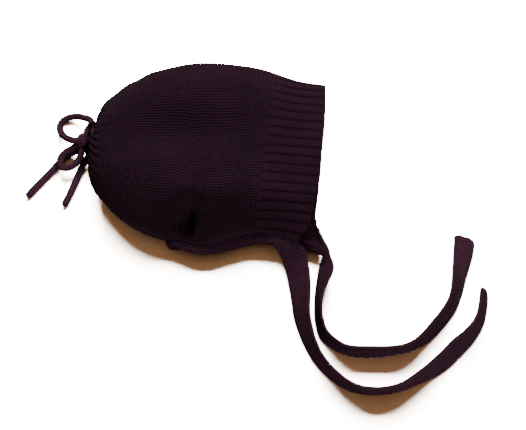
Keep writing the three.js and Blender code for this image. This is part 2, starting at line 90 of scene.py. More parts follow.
SECTION_COLUMNS = (
    "at", "top", "neck", "crest", "hem", "over", "under", "near", "far", "square", "sweep", "flare",
)
SECTIONS = (
    ring_section(-1, 9.6),
    ring_section(-0.5, 11.0),
    ring_section(0, 11.2),
    ring_section(0.018, 11.4),
    ring_section(0.025, 13.2),
    (0.034, 0.205, -0.082, 0.31, 0.3, 0.37, 0.29, -0.046, -0.008, 0.3, 1, 0),
    (0.05, 0.263, -0.171, 0.34, 0.31, 0.42, 0.35, -0.045, -0.019, 0.6, 1, 0),
    (0.075, 0.297, -0.22, 0.36, 0.31, 0.46, 0.41, -0.047, -0.033, 0.8, 1, 0),
    (0.115, 0.333, -0.265, 0.37, 0.3, 0.5, 0.46, -0.05, -0.043, 1, 1, 0),
    (0.17, 0.38, -0.315, 0.38, 0.29, 0.54, 0.48, -0.06, -0.06, 1, 1, 0),
    (0.237, 0.414, -0.372, 0.39, 0.28, 0.57, 0.5, -0.055, -0.055, 1, 1, 0),
    (0.308, 0.452, -0.414, 0.4, 0.26, 0.59, 0.5, -0.055, -0.055, 1, 1, 0),
    (0.39, 0.477, -0.442, 0.4, 0.24, 0.61, 0.5, -0.066, -0.066, 1, 1, 0),
    (0.478, 0.498, -0.463, 0.4, 0.23, 0.63, 0.5, -0.082, -0.08, 1, 1, 0),
    (0.566, 0.51, -0.487, 0.4, 0.23, 0.65, 0.5, -0.082, -0.075, 1, 1, 0),
    (0.653, 0.51, -0.497, 0.4, 0.23, 0.66, 0.5, -0.084, -0.075, 1, 1, 0),
    (0.742, 0.503, -0.495, 0.4, 0.23, 0.66, 0.5, -0.088, -0.075, 1, 1, 0),
    (0.83, 0.492, -0.474, 0.4, 0.23, 0.64, 0.5, -0.094, -0.082, 1, 1, 0),
    (0.912, 0.478, -0.452, 0.4, 0.24, 0.6, 0.5, -0.104, -0.09, 1, 1, 0),
    (1, 0.453, -0.437, 0.38, 0.25, 0.54, 0.5, -0.115, -0.1, 1, 1, 0),
    (1.45, 0.412, -0.446, 0.37, 0.27, 0.48, 0.5, -0.12, -0.085, 1, 1.5, 0.025),
    (2, 0.39, -0.48, 0.36, 0.29, 0.42, 0.5, -0.118, -0.085, 1, 1.8, 0.06),
)

# Folds and dents of the upper layer: centre and size as shares of the crown's length and height, lift as a
# share of its bulge. They are the hollow across the crown, the ridge below it, a swell beside the tuck and the
# dent in the edge above the neck.
FOLD_COLUMNS = ("x", "y", "long", "wide", "lift")
FOLDS = (
    (-0.08, 0.07, 0.42, 0.14, -0.2),
    (0.16, -0.27, 0.4, 0.09, 0.1),
    (-0.05, -0.33, 0.12, 0.05, 0.06),
    (-0.075, -0.455, 0.07, 0.055, -0.2),
)

# The ties as they lie: x and y of the lower edge from the root, as shares of the tie's length; lift of that
# edge and width, as shares of the tie's width; facing and lean of the strip in degrees. Each starts with rows
# inside the neck band, so that the strip grows out of it.
TIE_COLUMNS = ("x", "y", "lift", "width", "face", "lean")
RIGHT_TIE = (
    (-0.03, 0.001, 0.64, 0.34, 96, 16),
    (-0.01, 0.001, 0.66, 0.38, 94, 17),
    (0.004, 0, 0.7, 0.46, 80, 22),
    (0.015, -0.0013, 0.68, 0.6, 34, 25),
    (0.032, -0.0259, 0.45, 1, 13, 23),
    (0.043, -0.047, 0.22, 1, 4, 23),
    (0.056, -0.096, 0.03, 1, 4, 33),
    (0.066, -0.151, 0, 1, 6, 48),
    (0.074, -0.2, 0, 1, 11, 57),
    (0.098, -0.264, 0, 1, 24, 67),
    (0.134, -0.321, 0, 1, 41, 74),
    (0.196, -0.374, 0, 1, 66, 78),
    (0.259, -0.392, 0, 1, 86, 82),
    (0.335, -0.387, 0, 1, 101, 80),
    (0.407, -0.363, 0, 1, 113, 66),
    (0.469, -0.332, 0, 1, 125, 52),
    (0.517, -0.289, 0, 1, 136, 50),
    (0.553, -0.25, 0, 1, 150, 56),
    (0.581, -0.2, 0, 1, 162, 62),
    (0.597, -0.121, 0, 1, 170, 63),
)
LEFT_TIE = (
    (0.0044, 0.068, 0.3, 0.12, 60, 20),
    (0.0138, 0.033, 0.28, 0.2, 35, 30),
    (0.02, 0.007, 0.22, 0.3, 22, 32),
    (0.0163, -0.0188, 0.12, 0.48, 12, 40),
    (0.011, -0.036, 0.05, 0.7, 5, 44),
    (0.006, -0.064, 0, 0.95, -6, 58),
    (-0.001, -0.119, 0, 1, -6, 75),
    (-0.003, -0.165, 0, 1, -2, 81),
    (-0.001, -0.208, 0, 1, 10, 80),
    (0.014, -0.259, 0, 1, 36, 77),
    (0.074, -0.301, 0, 1, 70, 78),
    (0.152, -0.313, 0, 1, 88, 74),
    (0.233, -0.304, 0, 1, 98, 79),
    (0.287, -0.291, 0, 1, 108, 75),
    (0.344, -0.259, 0, 1, 122, 64),
    (0.403, -0.197, 0, 1, 138, 61),
    (0.433, -0.147, 0, 1, 148, 58),
    (0.462, -0.064, 0, 1, 162, 46),
    (0.485, 0.005, 0, 1, 168, 31),
    (0.492, 0.049, 0, 1, 172, 28),
)

# Routes of the bow's strands from the knot's centre, and the share of the first and last point that each
# strand starts and ends at, inside the knot
KNOT_OUT = 8.6
STRAND_START = 0.55
STRAND_END = 0.5
BOW_LOOP_UPPER = (
    (1.5, 3.5, 1.5),
    (2.7, 8.5, 0.8),
    (4.8, 13.8, -1),
    (3.4, 19, -4),
    (-5.1, 23.1, -7.7),
    (-10.4, 24.3, -10.1),
    (-15.8, 23.6, -11.5),
    (-20.1, 20.9, -12.1),
    (-22.1, 16.4, -11.5),
    (-20.5, 11.1, -9.9),
    (-16.2, 5.7, -6.5),
    (-10.9, 1.9, -2.1),
    (-7.5, -0.1, 1.7),
)
BOW_LOOP_LOWER = (
    (-6.3, -3.2, -2.5),
    (-10.3, -5.2, -4),
    (-14.7, -7.6, -5.3),
    (-18.2, -11.6, -5.9),
    (-18.8, -16.1, -5.9),
    (-16.6, -19.6, -6.1),
    (-12.3, -20, -6.1),
    (-7.5, -17.9, -5.3),
    (-4, -14.7, -3.9),
    (-2.2, -11.2, -2.7),
    (-1.4, -8.1, -1.9),
)
CORD_END_LONG = (
    (-4.5, -4.6, -7.5),
    (-8, -5.4, -9.5),
    (-12.1, -6.9, -11.1),
    (-17.2, -10.4, -12.1),
    (-22.4, -15.8, -12.2),
    (-27.5, -22, -12.2),
    (-32.7, -28, -12.2),
    (-38.1, -34.1, -12.2),
    (-43, -39.9, -12.2),
)
CORD_END_SHORT = (
    (3.0, -7.8, -6.5),
    (2.4, -9.8, -8.5),
    (0.4, -12.6, -10.1),
    (-2.8, -18.3, -11.7),
    (-5.1, -24, -12.2),
    (-7.4, -30.3, -12.2),
    (-9.7, -36.3, -12.2),
    (-12, -42, -12.2),
    (-14.4, -47.2, -12.2),
)
KNOT = np.array((DRAW_CORD_X - KNOT_OUT, GATHER_Y, GATHER_Z))

# The bow's cord: distance of the points along it, stitches round it, length of one, sides. The wraps of its
# knot: tilt and lean in degrees and radius of each. The length of the knot's neck, and the cord's thickness in
# the wraps and in the neck as shares of the strands'
ROUTE_STEP = 0.6
CORD_WALES = 7
CORD_STITCH = 1.7
CORD_SIDES = 16
KNOT_WRAPS = ((25, 12, 3.5), (-38, -20, 3.2), (75, 5, 2.9))
KNOT_NECK = 7.5
WRAP_SHARE = 0.93
NECK_SHARE = 0.9
DRAW_CORD_RADIUS = 9.7
DRAW_CORD_THICK = 1.45

# Crown: its pleats and its grid. The wall at the gathered back in metres, and how far that reaches
PLEAT_COUNT = 30
PLEAT_REACH = 21.0
ROWS_PER_RIDGE = 5
CROWN_COLUMNS = 216
GATHER_WALL = 0.008
GATHER_REACH = (9, 19)

# The tuck above the neck: how far the upper layer is pulled up over it, and the pocket that it leaves, which
# is wide behind the tuck and narrow ahead of it. Each pair is where one end of the pull or pocket fades, and
# the first two are the ends of the upper layer as shares of the way round.
LAYER_FROM = (0.015, 0.05)
LAYER_TO = (0.42, 0.47)
TUCK_X = -5.0
TUCK_REACH = 24.0
TUCK_PULL = 14.0
PULL_LOW = (-76, -61)
PULL_HIGH = (-60, -26)
POCKET_DEPTH = 12.0
POCKET_BEHIND = 13.0
POCKET_AHEAD = 1.8
POCKET_LOW = (-71, -63)
POCKET_HIGH = (-52, -44)

# Face band: its grid and its grooves, which fade in ahead of the seam. Its corners at the neck: how far the
# upper one is drawn back and down at the free edge, how the lower one goes on ahead, down and up, and from where
# the lower one takes the ribs' hollow shade all over, as painted shade of the bonnet's inside under the neck
# band
SEAM_OVERLAP = 0.5
BAND_ROWS = 24
COLUMNS_PER_RIB = 12
RIB_STITCHES = 4
GROOVE_SHARE = 0.14
GROOVE_START = (-4, 6)
UPPER_CORNER_UNTIL = 0.075
UPPER_CORNER_BACK = 8.0
UPPER_CORNER_DOWN = 4.0
LOWER_CORNER_FROM = 0.93
LOWER_CORNER = (5.5, -12.0, 3.5)
PAINTED_SHADE_CORNER_FROM = 0.95

# Neck band: how far it stands out from the knit's edge, its turn round the nape, where its ends are, the
# places of its sections along the seam and their degrees round the nape, and its knit
NECK_LIP = 8.0
NAPE_LIP_SHARE = 0.6
NAPE_TURN_RADIUS = 8.0
RIGHT_TIE_AT = 1.22
PIECE_GAP = 0.3
UPPER_LIP = (0.1, -0.93, -0.28)
NAPE_LIP = (0.35, -0.92, -0.05)
LOWER_LIP = (0.0, -1.0, 0.0)
SEAM_PLACES = (0.03, 0.09, 0.15, 0.21, 0.27, 0.33, 0.39, 0.45)
NAPE_DEGREES = (70, 38, 6, -26, -58, -90)
NECK_STEP = 0.5
NECK_ROW = 2.1
NECK_RELIEF = 0.2
NECK_WALES = 0.6

# Ties: their size and the rounding of the tip, and their knit, with a tooth for each row along the edges and a
# slow wave across
TIE_WALL = 2.4
TIE_TIP = 6.0
TIP_SHARE = 0.4
RIGHT_TIE_LENGTH = 282.0
LEFT_TIE_LENGTH = 250.0
TIE_STEPS = 560
TIE_WALE = 1.95
TIE_TOOTH = 0.22
TIE_WAVE = 0.35
EDGE_DEGREES = (36, 72, 108, 144)
KNIT_ROW = 1.9

# Wool: a matte yarn with a little sheen. Each knit has its pattern, the shares of the yarn's colour painted in
# its hollows as shade and on its raised stitches as light, its relief and, where it has ribs, the stitches of
# one. The shares also differ from piece to piece as painted light and shade: darker on the deep purl and rib
# knits, lighter on the neck band, the ties and the cord.
KNITS = (
    ("Purl knit", "Knit ridges", 0.08, 0.72, 0.9, None),
    ("Rib knit", "Stockinette", 0.24, 0.66, 0.5, RIB_STITCHES),
    ("Folded knit", "Stockinette", 0.4, 1.1, 0.7, None),
    ("Tie knit", "Stockinette", 0.3, 1.95, 1.1, None),
    ("Cord knit", "Stockinette", 0.5, 2.3, 0.8, None),
)
SHEEN = 0.002
SHEEN_TINT = (0.62, 0.38, 0.55, 1)
MATTE = 0.95

# The photo's view, in metres and degrees, and the point that the lights aim at
CAMERA_AT = (0.049, -0.22557, 0.67615)
CAMERA_TILT = 15
CAMERA_LENS = 61.42
SENSOR_WIDTH = 36
FLOOR_SIZE = 6
FLOOR_AT = (0.05, -0.04, -0.00005)
LIGHTS_AIM = (0.03, -0.03, 0.02)
WHITE = (1, 1, 1)
WARM = (1, 0.58, 0.3)
ROOM_COLOUR = (1.0, 0.56, 0.3, 1)
FLOOR_COLOUR = (0.93, 0.8, 0.7, 1)


# Shape ----------------------------------------------------------------------------------------------


def smooth(low, high, value):
    """A soft step from 0 to 1 between two values."""
    share = np.clip((value - low) / (high - low), 0, 1)
    return share * share * (3 - 2 * share)


def along(at):
    """Distance from the draw cord towards the face at a place of the sections' table."""
    at = np.asarray(at, float)
    forward = np.minimum(at, 1) * CROWN_LENGTH + np.maximum(at - 1, 0) * BAND_DEPTH
    return np.where(at < 0, at * RUFFLE_DEPTH, forward)


def through(places, values, wanted):
    """Smooth curves through the rows of a table, read at the wanted places of its first column."""
    places, values = np.asarray(places, float), np.asarray(values, float)
    wanted = np.atleast_1d(np.asarray(wanted, float))
    last = len(places) - 1
    after, before = np.minimum(np.arange(last + 1) + 1, last), np.maximum(np.arange(last + 1) - 1, 0)
    slope = (values[after] - values[before]) / (places[after] - places[before])[:, None]
    i = np.clip(np.searchsorted(places, wanted) - 1, 0, last - 1)
    span = (places[i + 1] - places[i])[:, None]
    t = np.clip((wanted - places[i])[:, None] / span, 0, 1)
    a, b = 2 * t**3 - 3 * t**2 + 1, t**3 - 2 * t**2 + t
    c, d = 3 * t**2 - 2 * t**3, t**3 - t**2
    return a * values[i] + b * span * slope[i] + c * values[i + 1] + d * span * slope[i + 1]


def lengths(points):
    """Distance along a line of points up to each of them."""
    return np.concatenate([[0], np.cumsum(np.linalg.norm(np.diff(points, axis=0), axis=1))])


def unit(vectors):
    """Vectors of length 1."""
    return vectors / np.maximum(np.linalg.norm(vectors, axis=-1, keepdims=True), 1e-9)


def fold_lift(x, y):
    """Lift of the upper layer by the folds and dents, as a share of the bulge."""
    lift = 0
    for fold in FOLDS:
        row = dict(zip(FOLD_COLUMNS, fold))
        dx = (x / CROWN_LENGTH - row["x"]) / row["long"]
        dy = (y / CROWN_HEIGHT - row["y"]) / row["wide"]
        lift = lift + row["lift"] * np.exp(-dx * dx - dy * dy)
    return lift


def pouch(places, rounds):
    """The pouch's smooth outside: a row for each place along it, a column for each share of the way round."""
    places, rounds = np.atleast_1d(places), np.atleast_1d(rounds)
    table = np.array(SECTIONS, float)
    columns = through(along(table[:, 0]), table, places).T[:, :, None]
    row = dict(zip(SECTION_COLUMNS, columns))
    angles = np.linspace(0, 2 * np.pi, LOOP_STEPS + 1)[None]
    neckward, upward = np.cos(angles), np.sin(angles)
    share = np.clip((1 + neckward) / 2, 0, 1)
    y = CROWN_HEIGHT * ((row["top"] + row["neck"]) / 2 - (row["top"] - row["neck"]) / 2 * neckward)
    upper = smooth(-0.35, 0.05, upward)
    swept = share ** row["sweep"]
    far = row["far"] * swept + row["flare"] * smooth(FLARE_FROM, 1, share)
    x = DRAW_CORD_X + places[:, None] + CROWN_LENGTH * (far + (row["near"] * swept - far) * upper)
    fold = row["crest"] + (row["hem"] - row["crest"]) * share
    swell = 1 + NECK_SWELL * row["square"] * neckward
    over = row["over"] * swell * np.maximum(upward, 0) ** (1 - UPPER_BLUNT * row["square"])
    over = over + fold_lift(x, y) * smooth(0, 0.35, upward)
    sag = np.exp(-(((1 - share - SAG_AT) / SAG_WIDTH) ** 2)) * smooth(0, 0.05, 1 - share)
    over = over - NECK_SAG * row["square"] * sag * (upward > 0)
    under = row["under"] * np.maximum(-upward, 0) ** (1 - LOWER_BLUNT * row["square"])
    height = fold + np.where(upward >= 0, over, -under)
    section = np.stack([x, y, np.maximum(0, CROWN_BULGE * height)], -1)
    points = np.empty((len(places), len(rounds), 3))
    for i, loop in enumerate(section):
        arcs = lengths(loop)
        wanted = (rounds % 1) * arcs[-1]
        points[i] = np.stack([np.interp(wanted, arcs, loop[:, k]) for k in range(3)], -1)
    return points


def outward(points, wraps):
    """The way out of a pouch at each point of its grid."""
    ahead, onward = np.gradient(points, axis=0), np.gradient(points, axis=1)
    if wraps:
        onward[:, 0] = onward[:, -1] = points[:, 1] - points[:, -2]
    return unit(np.cross(ahead, onward))


def rim(place, is_upper, wall):
    """Outside, inside and way out at the knit's edge beside the neck, one gap off it."""
    turn = UPPER_CUT if is_upper else 1 - LOWER_CUT
    step = RIM_TURN if is_upper else -RIM_TURN
    places = [place - RIM_STEP, place, place + RIM_STEP]
    near = pouch(places, [turn - RIM_TURN, turn, turn + RIM_TURN, turn + step])
    at = near[1, 1]
    normal = unit(np.cross(near[2, 1] - near[0, 1], near[1, 2] - near[1, 0]))
    off = unit(at - near[1, 3]) * PIECE_GAP
    return at + off, at - normal * wall + off, normal


def lip_reach(at):
    """How far the neck band stands out at a place along the edge: a little less near the nape."""
    return NECK_LIP * (0.75 + 0.25 * smooth(0, 0.12, at - NAPE_AT))


def lip_section(outer, inner, normal, lip, wall, reach):
    """Section of the neck band: as wide as the wall where it meets the rim, thicker outside."""
    lip = unit(np.array(lip))
    far = outer + lip * reach
    under = inner + lip * reach - normal * wall / 2
    nose = (far + under) / 2 + lip * wall / 2
    section = np.array([outer, far, nose, under, inner])
    for _ in range(2):
        after = np.roll(section, -1, axis=0)
        section = np.stack([0.75 * section + 0.25 * after, 0.25 * section + 0.75 * after], 1).reshape(-1, 3)
    return section


def lip_root(at, is_upper, lip, wall):
    """Where a tie's lower edge starts: at the outer edge of the neck band's end."""
    return rim(float(along(at)), is_upper, wall)[0] + unit(np.array(lip)) * NECK_LIP + (PIECE_GAP, 0, 0)


# Making pieces --------------------------------------------------------------------------------------


def grown(name, points, across, lengthwise, capped=False, open_faces=None):
    """A soft piece grown from a grid of points, with the stitch counts of its columns and rows."""
    if capped:
        ends = [points[k].mean(axis=0, keepdims=True).repeat(points.shape[1], 0)[None] for k in (0, -1)]
        points = np.concatenate([ends[0], points, ends[1]])
        lengthwise = np.concatenate([lengthwise[:1], lengthwise, lengthwise[-1:]])
    rows, columns = points.shape[:2]
    bpy.ops.object.select_all(action="DESELECT")
    bpy.ops.mesh.primitive_grid_add(x_subdivisions=columns - 1, y_subdivisions=rows - 1, size=1)
    piece = bpy.context.object
    piece.name = piece.data.name = name + "_knit"
    mesh = piece.data
    if len(mesh.vertices) != rows * columns:
        raise RuntimeError(f"{name}: the grid has {len(mesh.vertices)} points instead of {rows * columns}")
    flat = np.empty(len(mesh.vertices) * 3)
    mesh.vertices.foreach_get("co", flat)
    at = flat.reshape(-1, 3)
    column = np.rint((at[:, 0] + 0.5) * (columns - 1)).astype(int)
    row = np.rint((at[:, 1] + 0.5) * (rows - 1)).astype(int)
    mesh.vertices.foreach_set("co", (points[row, column] * MM).ravel())
    corners = np.empty(len(mesh.loops), int)
    mesh.loops.foreach_get("vertex_index", corners)
    stitches = np.stack([np.asarray(across, float)[column], np.asarray(lengthwise, float)[row]], -1)
    mesh.uv_layers[0].data.foreach_set("uv", stitches[corners].ravel())
    if open_faces is not None:
        starts = np.empty(len(mesh.polygons), int)
        mesh.polygons.foreach_get("loop_start", starts)
        faces = corners[starts[:, None] + np.arange(4)]
        mesh.polygons.foreach_set("select", open_faces(row[faces].min(axis=1), column[faces].min(axis=1)))
        delete_chosen_faces()
    tidy(piece)
    return piece


def delete_chosen_faces():
    """Deletes the faces chosen beforehand."""
    bpy.context.tool_settings.mesh_select_mode = (False, False, True)
    bpy.ops.object.mode_set(mode="EDIT")
    bpy.ops.mesh.delete(type="FACE")
    bpy.ops.object.mode_set(mode="OBJECT")
    bpy.context.tool_settings.mesh_select_mode = (True, False, False)


def tidy(piece):
    """Closes seams and poles, turns the faces outward and shades them smooth."""
    bpy.ops.object.mode_set(mode="EDIT")
    bpy.ops.mesh.select_all(action="SELECT")
    bpy.ops.mesh.remove_doubles(threshold=0.000004)
    bpy.ops.mesh.normals_make_consistent(inside=False)
    bpy.ops.object.mode_set(mode="OBJECT")
    bpy.ops.object.shade_smooth()


def wall_of(piece, thickness, weights=None):
    """Gives a single layer of knit its thickness, inward."""
    solid = piece.modifiers.new("Wall", "SOLIDIFY")
    solid.thickness = thickness
    solid.offset = -1
    solid.use_quality_normals = True
    if weights is not None:
        group = piece.vertex_groups.new(name="wall")
        for level in np.unique(weights):
            group.add(np.flatnonzero(weights == level).tolist(), float(level), "REPLACE")
        solid.vertex_group = group.name
    bpy.ops.object.modifier_apply(modifier=solid.name)
    bpy.ops.object.shade_smooth()


def lay_on_surface(piece):
    """No point of the piece is below the surface it lies on."""
    flat = np.empty(len(piece.data.vertices) * 3)
    piece.data.vertices.foreach_get("co", flat)
    flat[2::3] = np.maximum(flat[2::3], 0.0)
    piece.data.vertices.foreach_set("co", flat)
    piece.data.update()


def finished(piece, material, slot, *nodes):
    """Gives the piece its material, places it on the body and lets it stand for its solids."""
    piece.data.materials.clear()
    piece.data.materials.append(material)
    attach(piece, "root")
    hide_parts(*nodes)
    lit = bpy.data.collections.get("Knit pieces")
    if lit is not None:
        lit.objects.link(piece)
    return piece


def tube(name, path, radius):
    """A round knitted cord along a path, with rounded ends."""
    tangent = unit(np.gradient(path, axis=0))
    side = np.empty_like(path)
    side[0] = unit(np.cross(tangent[0], (0.31, 0.2, 0.93)))
    for k in range(1, len(path)):
        side[k] = unit(side[k - 1] - tangent[k] * (side[k - 1] @ tangent[k]))
    angles = np.linspace(0, 2 * np.pi, CORD_SIDES + 1)
    bends = np.radians((75, 50, 25))
    first, last = tangent[0], tangent[-1]
    begin = [(path[0] - first * radius * np.sin(b), np.cos(b), side[0], first) for b in bends]
    middle = [(p, 1, s, t) for p, s, t in zip(path, side, tangent)]
    end = [(path[-1] + last * radius * np.sin(b), np.cos(b), side[-1], last) for b in bends[::-1]]
    rings, places = [], []
    for point, size, across, ahead in begin + middle + end:
        up = np.cross(ahead, across)
        swell = 1 + 0.07 * math.cos(2 * math.pi * len(rings) * ROUTE_STEP / CORD_STITCH)
        reach = radius * size * swell
        rings.append([point + reach * (math.cos(a) * across + math.sin(a) * up) for a in angles])
        places.append(point)
    rings = np.array(rings)
    rings[:, -1] = rings[:, 0]
    wales = angles / (2 * np.pi) * CORD_WALES
    piece = grown(name, rings, wales, lengths(np.array(places)) / CORD_STITCH, capped=True)
    lay_on_surface(piece)
    return piece


def route_line(route):
    """A smooth line of close points through a route's points."""
    route = np.array(route, float)
    places = lengths(route)
    return through(places, route, np.linspace(0, places[-1], int(places[-1] / ROUTE_STEP) + 1))


# Materials ------------------------------------------------------------------------------------------


def new_group(name, inputs, outputs):
    """A node group with its sockets: inputs as (name, kind, value), outputs as (name, kind)."""
    tree = bpy.data.node_groups.new(name, "ShaderNodeTree")
    for label, kind, value in inputs:
        socket = tree.interface.new_socket(label, in_out="INPUT", socket_type="NodeSocket" + kind)
        if value is not None:
            socket.default_value = value
    for label, kind in outputs:
        tree.interface.new_socket(label, in_out="OUTPUT", socket_type="NodeSocket" + kind)
    return tree, tree.nodes.new("NodeGroupInput").outputs, tree.nodes.new("NodeGroupOutput").inputs


def feed(tree, socket, value):
    """Links a socket to another, or sets its constant."""
    if isinstance(value, bpy.types.NodeSocket):
        tree.links.new(value, socket)
    else:
        socket.default_value = value


def maths(tree, operation, *values):
    """A maths node's result."""
    node = tree.nodes.new("ShaderNodeMath")
    node.operation = operation
    for socket, value in zip(node.inputs, values):
        feed(tree, socket, value)
    return node.outputs[0]


def noise(tree, coordinate, scale, detail):
    """A noise texture's value."""
    node = tree.nodes.new("ShaderNodeTexNoise")
    feed(tree, node.inputs["Vector"], coordinate)
    node.inputs["Scale"].default_value = scale
    node.inputs["Detail"].default_value = detail
    return node.outputs[0]


def split(tree, vector):
    """The parts of a coordinate."""
    node = tree.nodes.new("ShaderNodeSeparateXYZ")
    feed(tree, node.inputs[0], vector)
    return node.outputs


def wave(tree, value):
    """A soft wave from 0 to 1, one for each whole number."""
    angle = maths(tree, "MULTIPLY", value, 2 * math.pi)
    return maths(tree, "MULTIPLY_ADD", maths(tree, "COSINE", angle), 0.5, 0.5)


def knit_ridges():
    """Purl ridges round the head: rows of small beads, two rows to a ridge."""
    tree, given, made = new_group("Knit ridges", [("Stitches", "Vector", None)], [("Height", "Float")])
    part = split(tree, given["Stitches"])
    row = maths(tree, "MULTIPLY", part["Y"], 2.0)
    ridge, bead = wave(tree, row), wave(tree, part["X"])
    grid = maths(tree, "MULTIPLY", ridge, bead)
    crossed = maths(tree, "MULTIPLY_ADD", ridge, 0.34, maths(tree, "MULTIPLY", bead, 0.34))
    feed(tree, made["Height"], maths(tree, "MULTIPLY_ADD", grid, 0.32, crossed))


def stockinette():
    """Plain knit: columns of small V shaped stitches."""
    tree, given, made = new_group("Stockinette", [("Stitches", "Vector", None)], [("Height", "Float")])
    part = split(tree, given["Stitches"])
    off = maths(tree, "ABSOLUTE", maths(tree, "SUBTRACT", maths(tree, "FRACT", part["X"]), 0.5))
    turn = maths(tree, "MULTIPLY_ADD", off, 1.7, 0.12)
    leg = maths(tree, "SINE", maths(tree, "MULTIPLY", turn, math.pi))
    slant = wave(tree, maths(tree, "MULTIPLY_ADD", off, 1.5, part["Y"]))
    feed(tree, made["Height"], maths(tree, "MULTIPLY", leg, maths(tree, "MULTIPLY_ADD", slant, 0.6, 0.4)))


def wool_fuzz():
    """Uneven wool: slow shade changes with a speckle of single stitches, and a fine fuzz."""
    outputs = [("Shade", "Float"), ("Fuzz", "Float")]
    tree, given, made = new_group("Wool fuzz", [("Place", "Vector", None)], outputs)
    speckle = maths(tree, "MULTIPLY_ADD", noise(tree, given["Place"], 420.0, 2.0), 1.1, -0.55)
    feed(tree, made["Shade"], maths(tree, "ADD", noise(tree, given["Place"], 38.0, 3.0), speckle))
    feed(tree, made["Fuzz"], noise(tree, given["Place"], 1500.0, 4.0))


def rib_hollow_shade():
    """Painted shade in the hollow between ribs, from the stitch number across them."""
    inputs = [("Stitches", "Vector", None), ("Stitches a rib", "Float", float(RIB_STITCHES))]
    tree, given, made = new_group("Rib hollow shade", inputs, [("Painted shade", "Float")])
    rib = maths(tree, "DIVIDE", split(tree, given["Stitches"])["X"], given["Stitches a rib"])
    off = maths(tree, "ABSOLUTE", maths(tree, "SUBTRACT", rib, maths(tree, "ROUND", rib)))
    lit = maths(tree, "MINIMUM", maths(tree, "MULTIPLY", off, 5.0), 1.0)
    feed(tree, made["Painted shade"], maths(tree, "SUBTRACT", 1.0, lit))


def grouped(tree, name, **inputs):
    """The outputs of a node group in a material."""
    node = tree.nodes.new("ShaderNodeGroup")
    node.node_tree = bpy.data.node_groups[name]
    for label, value in inputs.items():
        feed(tree, node.inputs[label.replace("_", " ")], value)
    return node.outputs


def wool(name, pattern, hollow, lit, relief, stitches_a_rib):
    """Dark wool knit: painted shade in the stitches' hollows and painted light on their raised tops, mixed by
    the pattern's height and the wool's uneven tone, and its relief as a bump.
    """
    material = bpy.data.materials.new(name)
    material.use_nodes = True
    tree = material.node_tree
    shader = tree.nodes["Principled BSDF"]
    uv = tree.nodes.new("ShaderNodeUVMap").outputs["UV"]
    place = tree.nodes.new("ShaderNodeTexCoord").outputs["Object"]
    knit = grouped(tree, pattern, Stitches=uv)
    fuzz = grouped(tree, "Wool fuzz", Place=place)
    # Painted shade in the stitches' hollows and painted light on their tops, by the pattern's height times the
    # wool's uneven tone
    share = maths(tree, "MULTIPLY", knit["Height"], maths(tree, "MULTIPLY_ADD", fuzz["Shade"], 1.2, 0.25))
    if stitches_a_rib:
        # Painted shade: the hollows between the ribs are darkened in the colour
        between = grouped(tree, "Rib hollow shade", Stitches=uv, Stitches_a_rib=float(stitches_a_rib))["Painted shade"]
        share = maths(tree, "SUBTRACT", share, maths(tree, "MULTIPLY", between, 0.9))
    mixed = tree.nodes.new("ShaderNodeMix")
    mixed.data_type = "RGBA"
    feed(tree, mixed.inputs["Factor"], maths(tree, "MAXIMUM", maths(tree, "MINIMUM", share, 1.0), 0.0))
    mixed.inputs["A"].default_value = (*hollow, 1)
    mixed.inputs["B"].default_value = (*lit, 1)
    tree.links.new(mixed.outputs["Result"], shader.inputs["Base Color"])
    bump = tree.nodes.new("ShaderNodeBump")
    bump.inputs["Distance"].default_value = relief * MM
    feed(tree, bump.inputs["Height"], maths(tree, "MULTIPLY_ADD", fuzz["Fuzz"], 0.35, knit["Height"]))
    tree.links.new(bump.outputs["Normal"], shader.inputs["Normal"])
    shader.inputs["Roughness"].default_value = MATTE
    shader.inputs["Specular IOR Level"].default_value = 0.0
    shader.inputs["Sheen Weight"].default_value = SHEEN
    shader.inputs["Sheen Roughness"].default_value = 0.6
    shader.inputs["Sheen Tint"].default_value = SHEEN_TINT
    return material


def make_materials():
    """The knit's materials, made once."""
    if "Purl knit" in bpy.data.materials:
        return
    knit_ridges()
    stockinette()
    wool_fuzz()
    rib_hollow_shade()
    yarn = np.array(bpy.context.scene.baby_bonnet.yarn)
    for name, pattern, hollow, lit, relief, stitches_a_rib in KNITS:
        wool(name, pattern, yarn * hollow, yarn * lit, relief, stitches_a_rib)


# Add-on ---------------------------------------------------------------------------------------------


